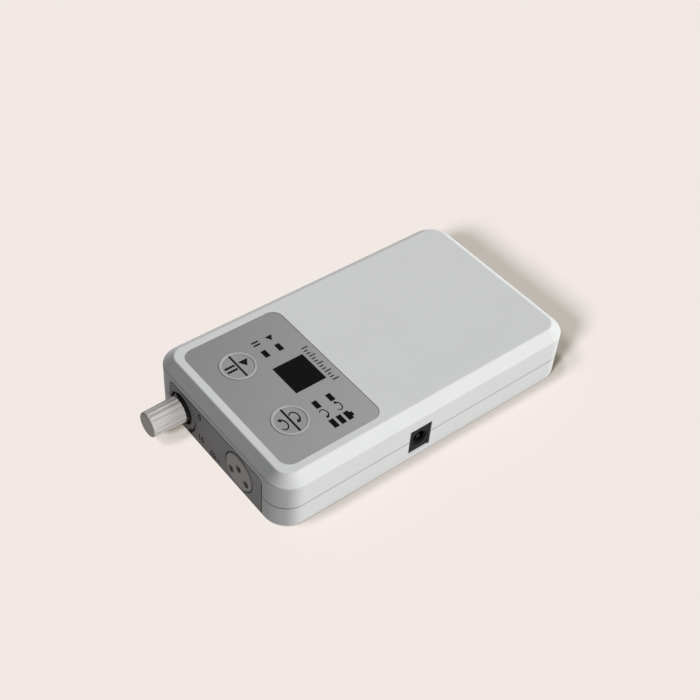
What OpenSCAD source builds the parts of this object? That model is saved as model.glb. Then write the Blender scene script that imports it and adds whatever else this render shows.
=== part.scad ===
// Battery control unit of a nail drill: a flat two-shell housing with a speed knob and the handpiece
// socket on its front end, a charging jack on its right side and a control field on top.
// X is the width, Y the length with the front end at -Y, Z the height. The origin is the centre of the
// underside, where the unit rests.

/* [Housing] */
// Width of the housing
body_w = 76; // [74:0.5:84]
// Length of the front zone, from the front end to the battery's own board
electronics_l = 59.9; // [58:0.1:70]
// Corner radius in plan
corner_r = 9; // [8:0.25:10]
// How far the top bevel runs inward
bevel_in = 4; // [3.5:0.1:4.5]
// How far the top bevel drops
bevel_drop = 3.2; // [2.6:0.1:3.6]
// Rounding of the bevel's two edges
bevel_edge_r = 1; // [0.4:0.1:1.4]
// Rounding of the bottom edge
base_edge_r = 0.8; // [0.4:0.1:1.2]
// Height of the parting line
parting_z = 9.7; // [8.5:0.1:11]
// Thickness of the side walls
side_wall = 1.8; // [1.6:0.1:2]
// Thickness of the top wall
top_wall = 2; // [1.8:0.1:2.2]
// Thickness of the base wall
base_wall = 1.5; // [1.3:0.1:1.6]
// Height of the tongue that centres the shells on each other
tongue_h = 1.2; // [0.8:0.1:1.6]
// Thickness of the tongue
tongue_t = 0.8; // [0.6:0.1:1]
// Height of the groove along the parting line
joint_gap = 0.3; // [0.1:0.05:0.4]
// Depth of that groove
joint_depth = 0.3; // [0.1:0.05:0.4]

/* [Front panel] */
// Distance from the housing's side to the front panel
panel_side = 10.8; // [10.4:0.1:12]
// Distance from the bevel down to the front panel's top edge
panel_drop = 2; // [1.4:0.1:2.4]
// Height of the front panel's bottom edge
panel_bottom = 0.8; // [0.6:0.1:1.2]
// Radius of the front panel's upper corners
panel_r = 2; // [1:0.25:3]
// Width of the rim that holds the panel behind the wall
panel_rim = 1.2; // [0.8:0.1:1.4]
// Thickness of that rim
panel_rim_t = 1; // [0.8:0.1:1.4]
// Width of the joint round the front panel
panel_joint = 0.35; // [0.15:0.05:0.4]

/* [Speed knob] */
// Distance from the housing's left side to the knob's axis
knob_inset = 17.5; // [17.2:0.1:19]
// Length of the knob
knob_l = 12.85; // [11:0.25:16]
// Radius of the knob at its foot
knob_foot_r = 5.05; // [4.9:0.05:5.4]
// Radius of the knob at its front end
knob_tip_r = 4.75; // [4.5:0.05:4.9]
// Rounding of the knob's front edge
knob_edge_r = 0.65; // [0.3:0.05:0.9]
// Number of flutes on the knob
flute_count = 15; // [12:1:20]
// Depth of a flute
flute_depth = 0.3; // [0.2:0.05:0.4]
// Gap between the knob and the panel
knob_gap = 1.05; // [0.8:0.05:1.4]
// Radius of the round recess behind the knob
recess_r = 6.45; // [6.3:0.05:6.7]
// Depth of that recess
recess_d = 1.4; // [1.2:0.1:1.6]
// Radius of the potentiometer's shaft
shaft_r = 3; // [2.8:0.1:3]

/* [Sockets] */
// Distance from the housing's right side to the socket's axis
socket_inset = 23.5; // [22.6:0.1:25]
// Radius of the socket's face
socket_r = 7.25; // [7:0.05:7.3]
// How far the socket's face stands out of the panel
socket_proud = 0.3; // [0.2:0.1:0.6]
// Chamfer round the socket's face
socket_edge = 0.25; // [0.1:0.05:0.4]
// Width of the groove round the socket in the panel
socket_groove_w = 0.6; // [0.4:0.05:0.65]
// Depth of that groove
socket_groove_d = 0.8; // [0.4:0.1:1.2]
// Bore radius of a socket contact
contact_r = 1.1; // [0.9:0.05:1.2]
// Half the distance between the two lower contacts
contact_half = 4.25; // [4:0.05:4.4]
// Height of the lower contacts, measured from the socket's axis
contact_low = -2.1; // [-2.4:0.1:-1.8]
// Height of the upper contact, measured from the socket's axis
contact_high = 1.7; // [1.4:0.1:2.2]
// Distance from the front end to the charging jack
jack_setback = 59.2; // [58.5:0.1:59.5]
// Width of the charging jack
jack_w = 9.05; // [8.8:0.05:9.2]
// Height of the charging jack
jack_h = 11; // [10.6:0.1:11.4]
// Length of the charging jack
jack_l = 14.2; // [13.5:0.1:14.5]
// Radius of the charging jack's bore
jack_bore_r = 2.55; // [2.5:0.05:2.7]
// Radius of the step round the mouth of the charging jack
jack_mouth_r = 3.2; // [3:0.05:3.6]
// Depth of that step
jack_mouth_d = 0.4; // [0.1:0.1:0.6]
// Radius of the charging jack's centre pin
jack_pin_r = 0.8; // [0.75:0.05:0.85]

/* [Control field] */
// Distance from the housing's side to the control overlay
overlay_side = 6.85; // [6.5:0.05:7.5]
// Length of the control overlay
overlay_l = 40.6; // [40:0.1:42]
// Distance from the front end to the overlay's centre
overlay_setback = 27.2; // [26.9:0.1:27.5]
// Corner radius of the overlay
overlay_r = 4.3; // [3:0.1:5]
// Thickness of the overlay
overlay_t = 0.35; // [0.25:0.05:0.45]
// Depth of the recess that the overlay lies in
overlay_recess = 0.5; // [0.4:0.05:0.6]
// Distance from the overlay's side to a key's axis
key_inset = 15.95; // [15.6:0.05:16.3]
// Distance from the front end to the keys
key_setback = 20.2; // [19.9:0.05:20.9]
// Radius of a key
key_r = 6.6; // [6.2:0.1:6.8]
// Width of the raised ring on a key
key_ring = 0.85; // [0.6:0.05:1]
// Height of the raised ring on a key
key_ring_h = 0.2; // [0.1:0.05:0.3]
// Travel of a key
key_travel = 0.3; // [0.2:0.05:0.35]
// Width of the display window
window_w = 13.8; // [13.4:0.1:14.2]
// Length of the display window
window_l = 12.7; // [12.4:0.1:13.2]
// Place of the display window across the width
window_x = -0.3; // [-0.5:0.1:0.5]
// Distance from the front end to the display window
window_setback = 35.4; // [35:0.1:36]
// Width of an indicator lens
lens_w = 3.4; // [3:0.1:3.8]
// Length of an indicator lens
lens_l = 1.85; // [1.6:0.05:2.1]
// Width of a battery gauge lens
gauge_w = 3.8; // [3.4:0.1:4]
// Spacing of the battery gauge lenses
gauge_pitch = 3.05; // [2.9:0.05:3.2]

/* [Boards and battery] */
// Thickness of the power board
power_board_t = 1; // [0.8:0.1:1.2]
// Height of the stands under the power board
power_board_stand = 0.74; // [0.6:0.02:0.9]
// Thickness of the display board
display_board_t = 1.2; // [1:0.1:1.6]
// Distance from the top wall down to the display board
display_board_drop = 5.3; // [5.1:0.1:5.5]
// Radius of a battery cell
cell_r = 9.2; // [9.05:0.05:9.25]
// Length of a battery cell with its button
cell_l = 65.2; // [64.8:0.1:65.3]
// Thickness of the protection board
protection_board_t = 1; // [0.8:0.1:1.2]
// Thickness of the foam between the cells and the top wall
foam_t = 0.55; // [0.4:0.05:3]

/* [Fasteners] */
// Radius of a housing screw's thread
screw_r = 1.3; // [1.2:0.05:1.4]
// Radius of a housing screw's head
screw_head_r = 2.4; // [2.2:0.05:2.5]
// Height of a housing screw's head
screw_head_h = 1.8; // [1.5:0.1:2]
// Length of a housing screw's shank
screw_l = 10; // [8:0.5:11]

/* [Hidden] */
$fn = 48;

slide_gap = 0.1;
seat_gap = 0.15;
air_gap = 0.3;
thread_gap = 0.02;
root = 0.5;
over = 1;

// The battery settles the housing's length and height
strip_t = 0.2;
strip_foot = 0.8;
cell_back_gap = 2.1;
battery_l = protection_board_t + strip_foot + strip_t + cell_l;
body_l = electronics_l + battery_l + cell_back_gap + side_wall;
body_h = base_wall + seat_gap + 2 * cell_r + slide_gap + foam_t + top_wall;
half_w = body_w / 2;
half_l = body_l / 2;
front_y = -half_l;

// Bevel and inner wall
bevel_z = body_h - bevel_drop;
bevel_a = atan2(bevel_drop, bevel_in);
roof_z = body_h - top_wall;
inner_eave_z = bevel_z + side_wall * tan(bevel_a) - side_wall / cos(bevel_a);
inner_roof_s = (roof_z - bevel_z + side_wall / cos(bevel_a)) / tan(bevel_a);

// Shell screws
boss_r = 3.2;
lower_boss_r = 3.6;
boss_inset = 8;
boss_end_inset = 8.5;
boss_x = half_w - boss_inset;
boss_y = half_l - boss_end_inset;
screw_seat_z = 4;
screw_places = [for (sx = [-1, 1], sy = [-1, 1]) [sx * boss_x, sy * boss_y]];

// Front panel, with the knob and the socket halfway up it
panel_w = body_w - 2 * panel_side;
panel_top = bevel_z - panel_drop;
port_z = (panel_bottom + panel_top) / 2;
knob_x = knob_inset - half_w;
socket_x = half_w - socket_inset;
panel_back_y = front_y + side_wall + panel_rim_t;
rim_keeper_t = 1.2;
rim_keeper_w = 2.2;
recess_y = front_y + recess_d;

// Potentiometer
bushing_r = shaft_r + 0.5;
washer_r = 5.9;
washer_t = 0.4;
nut_flats = 10;
nut_t = 1.4;
bushing_out = 0.2;
pot_w = 9.7;
pot_above = 5;
pot_d = 6.8;
pot_plate_t = 0.8;
pot_step = 0.4;
nut_y = recess_y - washer_t - nut_t;
bushing_y = nut_y - bushing_out;
shaft_gap = 0.05;
knob_foot_y = front_y - knob_gap;
knob_bore_l = 9;
knob_hollow_r = bushing_r + 0.5;
knob_hollow_l = 1.6;
shaft_flat = 0.75;
knob_taper = atan2(knob_foot_r - knob_tip_r, knob_l);
flute_r = 1.2;
flute_l = knob_l - 1.5 * knob_edge_r;

// Handpiece socket
socket_face_y = front_y - socket_proud;
socket_flange_x = 11;
socket_flange_z = 5;
socket_flange_t = 1.5;
socket_screw_x = 9.2;
socket_screw_r = 0.8;
socket_screw_bite = 1.8;
socket_screw_head_r = 1.5;
socket_screw_head_h = 1;
socket_barrel_r = 6.2;
socket_barrel_l = 7;
socket_back_y = panel_back_y + socket_flange_t + socket_barrel_l;
contact_wall = 0.4;
contact_sink = 0.6;
contact_tail_l = 2.5;
contact_tail_r = 0.6;
lead_bend = 3;
lead_step = 1;
contact_places = [[-contact_half, contact_low], [contact_half, contact_low], [0, contact_high]];

// Battery
cell_pitch = 2 * cell_r + air_gap;
cell_z = base_wall + seat_gap + cell_r;
cell_back_y = half_l - side_wall - cell_back_gap;
cell_front_y = cell_back_y - cell_l;
button_r = 2.8;
button_l = 0.8;
strip_w = 7;
strip_end = 3;
tab_half = 2;
protection_y = cell_front_y - strip_foot - strip_t;
protection_front_y = protection_y - protection_board_t;
protection_w = 28;
protection_h = 12;
protection_chip = [4, 1, 3];
protection_chip_pitch = 7;
protection_chip_up = 5;
protection_chip_z = base_wall + protection_chip_up;
cradle_t = 1.6;
cradle_h = 5.5;
cradle_end = 9;
cradle_side = 1;
cradle_y = [cell_front_y + cradle_end, (cell_front_y + cell_back_y) / 2, cell_back_y - cradle_end];
foam_side = 5;
foam_l = 12;
can_groove = 0.5;
can_groove_z = 1.9;

// Power board and what stands on it
power_board_z = base_wall + power_board_stand;
power_top_z = power_board_z + power_board_t;
power_board_x = half_w - side_wall - 1.2;
power_board_front_x = boss_x - lower_boss_r - air_gap;
power_board_step_y = lower_boss_r + air_gap - boss_y;
board_margin = 1;
stand_r = 2.6;
stake_r = 1.3;
stake_h = 0.8;
stake_inset = 6;
stake_x = half_w - stake_inset;
stake_front = 15.5;
stake_back = 10.4;
stake_front_y = front_y + stake_front;
stake_back_y = protection_front_y - stake_back;
stake_places = [for (sx = [-1, 1], y = [stake_front_y, stake_back_y]) [sx * stake_x, y]];
clamp_post_r = 2.4;
power_board_clear = 0.6;
power_board_back_y = protection_front_y - protection_chip[1] - power_board_clear;
transistor_inset = 13;
transistor_front = 27.5;
transistor_pitch = 10;
transistor_x = power_board_x - transistor_inset;
transistor_y = [for (i = [0, 1]) front_y + transistor_front + i * transistor_pitch];
transistor = [6.6, 6.1, 2.3];
transistor_tab = [5.2, 2.2, 0.5];
capacitor_front = 31.5;
capacitor_y = front_y + capacitor_front;
capacitor_r = 4;
capacitor_l = 12;
capacitor_x = -capacitor_l;
inductor_x = 6;
inductor_back = 10.4;
inductor_y = protection_front_y - inductor_back;
inductor_r = 3.3;
inductor_h = 4;
inductor_base = [7, 7, 0.6];
connector_x = -10;
connector_back = 8.9;
connector_y = protection_front_y - connector_back;
connector = [7.5, 5.8, 7];
connector_pitch = 2.5;
connector_lead_up = 4;
connector_lead_z = power_top_z + connector_lead_up;
battery_lead_x = -12;
battery_lead_pitch = 4;
battery_lead_up = 10;
battery_lead_z = base_wall + battery_lead_up;
lead_r = 0.8;

// Charging jack
jack_pin_head_t = 0.6;
jack_face_inset = 0.4;
jack_face_x = half_w - jack_face_inset;
jack_axis_up = 5.6;
jack_z = power_top_z + jack_axis_up;
jack_y = front_y + jack_setback;
jack_ear_x = jack_face_x - jack_l - jack_pin_head_t - board_margin;
jack_ear_y = jack_y + jack_w / 2 + board_margin;
jack_flange_l = 3.4;
jack_barrel_r = 4.4;
jack_bore_l = 9.5;
jack_pin_tip = 0.8;
jack_pin_root_r = jack_pin_r + 0.3;
jack_pin_head_r = 1.9;
spring_t = 0.4;
spring_w = 2;
spring_rise = 0.2;
spring_dip = 0.4;
spring_bend = 1.6;

// Overlay, windows and keys
overlay_w = body_w - 2 * overlay_side;
overlay_y = front_y + overlay_setback;
key_x = overlay_w / 2 - key_inset;
key_y = front_y + key_setback;
window_y = front_y + window_setback;
overlay_floor_z = body_h - overlay_recess;
overlay_top_z = overlay_floor_z + overlay_t;
window_t = 1;
window_bottom_z = overlay_top_z - window_t;
window_ledge = 0.9;
lens_ledge = 0.4;
lens_inset = 16.5;
lens_x = overlay_w / 2 - lens_inset;
lens_front = 31.4;
lens_pitch = 5.9;
lens_y = [for (i = [0, 1]) front_y + lens_front + i * lens_pitch];
lens_places = [for (sx = [-1, 1], y = lens_y) [sx * lens_x, y]];
gauge_inset = 6.55;
gauge_front = 31.2;
gauge_x = overlay_w / 2 - gauge_inset;
gauge_y = front_y + gauge_front;
gauge_l = 1.85;
gauge_count = 3;
nipple_w = 1.7;
nipple_l = 0.9;
gauge_top_y = gauge_y + (gauge_count - 1) * gauge_pitch;
key_flange = 0.8;
key_flange_t = 0.65;
key_rest_gap = 0.05;
key_places = [-key_x, key_x];

// Display board, hung from the top wall
display_top_z = roof_z - display_board_drop;
display_bottom_z = display_top_z - display_board_t;
display_board_side = 9.2;
display_board_front = 13;
display_board_l = 37;
display_board_x = half_w - display_board_side;
display_board_y0 = front_y + display_board_front;
display_board_y1 = display_board_y0 + display_board_l;
post_r = 2.1;
post_inset = 2.9;
post_x = display_board_x - post_inset;
post_places = [for (sx = [-1, 1], y = [display_board_y0 + post_inset, display_board_y1 - post_inset])
    [sx * post_x, y]];
board_screw_r = 1;
board_screw_head_r = 1.8;
board_screw_head_h = 1.2;
board_screw_bite = 3.5;
switch_w = 6;
switch_h = 3.4;
plunger_r = 1.75;
plunger_depth = 1.4;
key_foot_h = 0.3;
key_foot_r = plunger_r + 0.6;
key_flange_z = roof_z - key_rest_gap - key_flange_t;
key_foot_z = key_flange_z - key_foot_h;
digit_side = 0.6;
led_side = 0.2;
digit_h = roof_z - display_top_z - seat_gap;
header_inset = 4.8;
header_front = 34.5;
header_x = header_inset - display_board_x;
header_y = front_y + header_front;
header_w = 2.5;
header_l = 12.7;
chip_x = 8;
chip_front = 41.5;
chip_y = front_y + chip_front;
chip = [10, 4, 1.5];
chip_standoff = 0.1;
chip_legs = 8;
chip_leg_pitch = 1.27;
chip_leg = [0.45, 1.1, 1];

// ---------------------------------------------------------------- shared forms

function arc(cx, cy, r, a0, a1, n = 4) =
    [for (i = [0:n]) let (a = a0 + (a1 - a0) * i / n) [cx + r * cos(a), cy + r * sin(a)]];

function reversed(list) = [for (i = [len(list) - 1:-1:0]) list[i]];

// Each curve lists [inset from the outer wall, height], from the bottom up.
function bevel_curve(z0) = let (
        wall_t = bevel_edge_r * tan((90 - bevel_a) / 2),
        roof_t = bevel_edge_r * tan(bevel_a / 2)
    ) concat(
        [[0, z0]],
        arc(bevel_edge_r, bevel_z - wall_t, bevel_edge_r, 180, 90 + bevel_a),
        arc(bevel_in + roof_t, body_h - bevel_edge_r, bevel_edge_r, 90 + bevel_a, 90)
    );

function inner_curve(z0) = [[side_wall, z0], [side_wall, inner_eave_z], [inner_roof_s, roof_z]];

function base_curve(z1) =
    concat(
        arc(base_edge_r, base_edge_r, base_edge_r, 270, 180),
        [[0, z1 - joint_gap], [joint_depth, z1 - joint_gap], [joint_depth, z1]]
    );

function straight_curve(inset, z0, z1) = [[inset, z0], [inset, z1]];

// A block with rounded plan corners whose wall follows the curve all round.
module wall_profile(half, curve) {
    polygon(concat(
        [for (p = curve) [half - p[0], p[1]]],
        reversed([for (p = curve) [p[0] - half, p[1]]])
    ));
}

module corner_profile(curve) {
    polygon(concat(
        [[0, curve[0][1]]],
        [for (p = curve) [corner_r - p[0], p[1]]],
        [[0, curve[len(curve) - 1][1]]]
    ));
}

module rounded_body(curve) {
    rotate([90, 0, 0])
        linear_extrude(body_l - 2 * corner_r, center = true)
            wall_profile(half_w, curve);
    rotate([90, 0, 90])
        linear_extrude(body_w - 2 * corner_r, center = true)
            wall_profile(half_l, curve);
    for (sx = [0, 1], sy = [0, 1])
        mirror([sx, 0, 0])
            mirror([0, sy, 0])
                translate([half_w - corner_r, half_l - corner_r, 0])
                    rotate_extrude(angle = 90, $fn = 96)
                        corner_profile(curve);
}

// A plate with rounded corners, centred in plan.
module rounded_plate(w, l, r, t) {
    linear_extrude(t)
        polygon(concat(
            arc(w / 2 - r, l / 2 - r, r, 0, 90, 6),
            arc(r - w / 2, l / 2 - r, r, 90, 180, 6),
            arc(r - w / 2, r - l / 2, r, 180, 270, 6),
            arc(w / 2 - r, r - l / 2, r, 270, 360, 6)
        ));
}

module box(x0, x1, y0, y1, z0, z1) {
    translate([x0, y0, z0])
        cube([x1 - x0, y1 - y0, z1 - z0]);
}

module plate_at(x, y, z, w, l, t) {
    translate([x - w / 2, y - l / 2, z])
        cube([w, l, t]);
}

module rod(x, y, z0, z1, r) {
    translate([x, y, z0])
        cylinder(r = r, h = z1 - z0);
}

// A rod along Y.
module rod_y(x, z, y0, y1, r) {
    translate([x, y0, z])
        rotate([-90, 0, 0])
            cylinder(r = r, h = y1 - y0);
}

// A rod along X.
module rod_x(y, z, x0, x1, r) {
    translate([x0, y, z])
        rotate([0, 90, 0])
            cylinder(r = r, h = x1 - x0);
}

// A lead swept along a cubic curve through its own four control points.
lead_sides = 8;
lead_rings = 12;

function curve_point(c, t) =
    pow(1 - t, 3) * c[0] + 3 * pow(1 - t, 2) * t * c[1] + 3 * (1 - t) * t * t * c[2] + pow(t, 3) * c[3];

function unit(v) = v / norm(v);

function curve_way(c, t) = unit(curve_point(c, t + 0.01) - curve_point(c, t - 0.01));

module lead(c, side) {
    points = [for (i = [0:lead_rings], k = [0:lead_sides - 1])
        let (
            t = i / lead_rings,
            way = curve_way(c, t),
            across = unit(cross(way, side)),
            other = cross(way, across),
            a = 360 * k / lead_sides
        )
        curve_point(c, t) + lead_r * (cos(a) * across + sin(a) * other)];
    walls = [for (i = [0:lead_rings - 1], k = [0:lead_sides - 1])
        let (m = (k + 1) % lead_sides, a = i * lead_sides, b = a + lead_sides)
        [a + k, b + k, b + m, a + m]];
    first = [for (k = [0:lead_sides - 1]) k];
    last = [for (k = [lead_sides - 1:-1:0]) lead_rings * lead_sides + k];
    polyhedron(points, concat([first], walls, [last]), convexity = 4);
}

// ---------------------------------------------------------------- housing

module panel_outline(grow, bottom) {
    w = panel_w / 2 + grow;
    top = panel_top + grow;
    r = panel_r + grow;
    polygon(concat(
        [[-w, bottom], [w, bottom]],
        arc(w - r, top - r, r, 0, 90, 6),
        arc(r - w, top - r, r, 90, 180, 6)
    ));
}

module panel_slab(grow, bottom, y0, y1) {
    translate([0, y1, 0])
        rotate([90, 0, 0])
            linear_extrude(y1 - y0)
                panel_outline(grow, bottom);
}

module panel_opening() {
    panel_slab(panel_joint, panel_bottom - seat_gap, front_y - over, front_y + side_wall + over);
}

module jack_opening() {
    y0 = jack_y - jack_w / 2 - air_gap;
    z0 = power_top_z - air_gap;
    box(half_w - side_wall - over, half_w + over, y0, y0 + jack_w + 2 * air_gap,
        z0, z0 + jack_h + 2 * air_gap);
}

module rim_keepers(z0, z1) {
    x0 = panel_w / 2 + panel_rim - rim_keeper_w;
    y0 = panel_back_y + slide_gap;
    for (side = [0, 1])
        mirror([side, 0, 0])
            box(x0, x0 + rim_keeper_w, y0, y0 + rim_keeper_t, z0, z1);
}

module lower_shell() {
    color("gainsboro")
    difference() {
        union() {
            difference() {
                rounded_body(base_curve(parting_z));
                rounded_body(straight_curve(side_wall, base_wall, parting_z + over));
            }
            difference() {
                rounded_body(straight_curve(side_wall - tongue_t, parting_z - over, parting_z + tongue_h));
                rounded_body(straight_curve(side_wall, parting_z - 2 * over, parting_z + tongue_h + over));
            }
            for (p = screw_places)
                rod(p[0], p[1], base_wall - root, parting_z, lower_boss_r);
            for (p = stake_places) {
                rod(p[0], p[1], base_wall - root, power_board_z, stand_r);
                rod(p[0], p[1], base_wall - root, power_top_z + stake_h, stake_r);
            }
            cell_cradles();
            rim_keepers(base_wall - root, parting_z);
        }
        for (p = screw_places) {
            rod(p[0], p[1], -over, screw_seat_z, screw_head_r + air_gap);
            rod(p[0], p[1], -over, parting_z + over, screw_r + seat_gap);
        }
        panel_opening();
        jack_opening();
    }
}

module cell_cradles() {
    w = cell_pitch + 2 * (cell_r + cradle_side);
    difference() {
        for (y = cradle_y)
            box(-w / 2, w / 2, y - cradle_t / 2, y + cradle_t / 2, base_wall - root, base_wall + cradle_h);
        for (side = [-1, 1])
            rod_y(side * cell_pitch / 2, cell_z, cell_front_y - over, cell_back_y + over,
                cell_r + seat_gap / 2);
    }
}

module upper_shell() {
    color("lightgray")
    difference() {
        union() {
            difference() {
                rounded_body(bevel_curve(parting_z));
                rounded_body(inner_curve(parting_z - over));
                rounded_body(straight_curve(side_wall - tongue_t - slide_gap, parting_z - over,
                    parting_z + tongue_h + slide_gap));
            }
            for (p = screw_places)
                rod(p[0], p[1], parting_z, roof_z + root, boss_r);
            for (p = stake_places)
                rod(p[0], p[1], power_top_z, roof_z + root, clamp_post_r);
            for (p = post_places)
                rod(p[0], p[1], display_top_z, roof_z + root, post_r);
            rim_keepers(parting_z, roof_z + root);
        }
        for (p = screw_places)
            rod(p[0], p[1], parting_z - over, screw_seat_z + screw_l + over, screw_r + thread_gap);
        for (p = stake_places)
            rod(p[0], p[1], power_top_z - over, power_top_z + stake_h + air_gap, stake_r + slide_gap);
        for (p = post_places)
            rod(p[0], p[1], display_top_z - over, display_top_z + board_screw_bite + air_gap,
                board_screw_r + thread_gap);
        translate([0, overlay_y, overlay_floor_z])
            rounded_plate(overlay_w + 2 * slide_gap, overlay_l + 2 * slide_gap, overlay_r + slide_gap,
                overlay_recess + over);
        for (x = key_places)
            rod(x, key_y, roof_z - over, body_h + over, key_r + slide_gap);
        window_pockets();
        panel_opening();
        jack_opening();
    }
}

// The ledged openings that the display window and the lenses drop into.
module window_pockets() {
    ledged_opening(window_x, window_y, window_w, window_l, window_ledge);
    for (p = lens_places)
        ledged_opening(p[0], p[1], lens_w, lens_l, lens_ledge);
    for (i = [0:gauge_count - 1])
        ledged_opening(gauge_x, gauge_y + i * gauge_pitch, gauge_w, gauge_l, lens_ledge);
    nipple_pocket();
}

module ledged_opening(x, y, w, l, ledge) {
    plate_at(x, y, window_bottom_z, w + 2 * slide_gap, l + 2 * slide_gap, window_t + over);
    plate_at(x, y, roof_z - over, w - 2 * ledge, l - 2 * ledge, top_wall + over);
}

module nipple_pocket() {
    plate_at(gauge_x, gauge_top_y + (gauge_l + nipple_l) / 2, window_bottom_z,
        nipple_w + 2 * slide_gap, nipple_l + 2 * slide_gap, window_t + over);
}

module front_panel() {
    color("dimgray")
    difference() {
        union() {
            panel_slab(0, panel_bottom, front_y, front_y + side_wall + slide_gap);
            panel_slab(panel_rim, base_wall + slide_gap, front_y + side_wall + slide_gap, panel_back_y);
        }
        rod_y(knob_x, port_z, front_y - over, recess_y, recess_r);
        rod_y(knob_x, port_z, front_y - over, panel_back_y + over, bushing_r + slide_gap);
        rod_y(socket_x, port_z, front_y - over, front_y + socket_groove_d, socket_r + socket_groove_w);
        rod_y(socket_x, port_z, front_y - over, panel_back_y + over, socket_r + seat_gap);
        for (side = [-1, 1])
            rod_y(socket_x + side * socket_screw_x, port_z, panel_back_y - socket_screw_bite,
                panel_back_y + over, socket_screw_r + thread_gap);
    }
}

module control_overlay() {
    color("darkgray")
    difference() {
        translate([0, overlay_y, overlay_floor_z])
            rounded_plate(overlay_w, overlay_l, overlay_r, overlay_t);
        for (x = key_places)
            rod(x, key_y, overlay_floor_z - over, overlay_top_z + over, key_r + slide_gap);
        window_pockets();
    }
}

module display_window() {
    color([0.05, 0.05, 0.05])
        plate_at(window_x, window_y, window_bottom_z, window_w, window_l, window_t);
}

module indicator_lenses() {
    color([0.07, 0.07, 0.07])
    for (p = lens_places)
        plate_at(p[0], p[1], window_bottom_z, lens_w, lens_l, window_t);
}

module gauge_lenses() {
    color([0.07, 0.07, 0.07])
    union() {
        for (i = [0:gauge_count - 1])
            plate_at(gauge_x, gauge_y + i * gauge_pitch, window_bottom_z, gauge_w, gauge_l, window_t);
        box(gauge_x - nipple_w / 2, gauge_x + nipple_w / 2, gauge_top_y,
            gauge_top_y + gauge_l / 2 + nipple_l, window_bottom_z, overlay_top_z);
    }
}

module housing_screws() {
    slot_l = 1.2 * screw_head_r;
    slot_w = 0.6;
    color("silver")
    for (p = screw_places)
        difference() {
            union() {
                rod(p[0], p[1], screw_seat_z - screw_head_h, screw_seat_z, screw_head_r);
                rod(p[0], p[1], screw_seat_z, screw_seat_z + screw_l, screw_r);
            }
            for (turn = [0, 90])
                translate([p[0], p[1], screw_seat_z - screw_head_h - over])
                    rotate(turn)
                        translate([-slot_l / 2, -slot_w / 2, 0])
                            cube([slot_l, slot_w, over + screw_head_h / 2]);
        }
}

// ---------------------------------------------------------------- speed knob

// The knob is a revolved cap with flutes cut along its taper.
module speed_knob() {
    flat_r = knob_tip_r - knob_edge_r;
    color([0.78, 0.77, 0.75])
    translate([knob_x, knob_foot_y, port_z])
        rotate([90, 0, 0])
            difference() {
                rotate_extrude($fn = 64)
                    polygon(concat(
                        [[0, 0], [knob_foot_r, 0]],
                        arc(flat_r, knob_l - knob_edge_r, knob_edge_r, 0, 90, 5),
                        [[0, knob_l]]
                    ));
                for (i = [0:flute_count - 1])
                    rotate(360 * (i + 0.5) / flute_count)
                        translate([knob_foot_r + flute_r - flute_depth, 0, -over])
                            rotate([0, -knob_taper, 0])
                                cylinder(r = flute_r, h = flute_l + over, $fn = 24);
                translate([0, 0, -over])
                    cylinder(r = knob_hollow_r, h = knob_hollow_l + over);
                difference() {
                    translate([0, 0, -over])
                        cylinder(r = shaft_r + shaft_gap, h = knob_bore_l + over);
                    translate([-shaft_r, shaft_r - shaft_flat + shaft_gap, knob_hollow_l])
                        cube([2 * shaft_r, shaft_r, knob_bore_l]);
                }
            }
}

// The shaft runs in the bushing and carries a flat that the knob grips.
module potentiometer_shaft() {
    color("silver")
    difference() {
        rod_y(knob_x, port_z, knob_foot_y - knob_bore_l + air_gap, panel_back_y + pot_d / 2, shaft_r);
        translate([knob_x - shaft_r, knob_foot_y - knob_bore_l, port_z + shaft_r - shaft_flat])
            cube([2 * shaft_r, knob_bore_l - knob_hollow_l + slide_gap, shaft_r]);
    }
}

module speed_potentiometer() {
    color("darkslategray")
    difference() {
        union() {
            box(knob_x - pot_w / 2, knob_x + pot_w / 2, panel_back_y, panel_back_y + pot_plate_t,
                power_top_z, port_z + pot_above);
            box(knob_x - pot_w / 2 + pot_step, knob_x + pot_w / 2 - pot_step, panel_back_y + pot_plate_t,
                panel_back_y + pot_d, power_top_z, port_z + pot_above - pot_step);
            rod_y(knob_x, port_z, bushing_y, panel_back_y + pot_plate_t, bushing_r);
        }
        rod_y(knob_x, port_z, bushing_y - over, panel_back_y + pot_d / 2 + seat_gap, shaft_r + shaft_gap);
    }
}

module potentiometer_washer() {
    color([0.1, 0.1, 0.1])
    difference() {
        rod_y(knob_x, port_z, recess_y - washer_t, recess_y, washer_r);
        rod_y(knob_x, port_z, recess_y - washer_t - over, recess_y + over, bushing_r + slide_gap);
    }
}

module potentiometer_nut() {
    color([0.12, 0.12, 0.12])
    difference() {
        translate([knob_x, recess_y - washer_t, port_z])
            rotate([90, 0, 0])
                cylinder(r = nut_flats / sqrt(3), h = nut_t, $fn = 6);
        rod_y(knob_x, port_z, nut_y - over, recess_y, bushing_r + thread_gap);
    }
}

// ---------------------------------------------------------------- handpiece socket

module motor_socket() {
    color([0.6, 0.6, 0.6])
    difference() {
        union() {
            rod_y(socket_x, port_z, socket_face_y + socket_edge, panel_back_y, socket_r);
            translate([socket_x, socket_face_y, port_z])
                rotate([-90, 0, 0])
                    cylinder(r1 = socket_r - socket_edge, r2 = socket_r, h = socket_edge);
            box(socket_x - socket_flange_x, socket_x + socket_flange_x, panel_back_y,
                panel_back_y + socket_flange_t, port_z - socket_flange_z, port_z + socket_flange_z);
            rod_y(socket_x, port_z, panel_back_y, socket_back_y, socket_barrel_r);
        }
        for (p = contact_places)
            rod_y(socket_x + p[0], port_z + p[1], socket_face_y - over, socket_back_y + over,
                contact_r + contact_wall + thread_gap);
        for (side = [-1, 1])
            rod_y(socket_x + side * socket_screw_x, port_z, panel_back_y - over,
                panel_back_y + socket_flange_t + over, socket_screw_r + slide_gap);
    }
}

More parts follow.
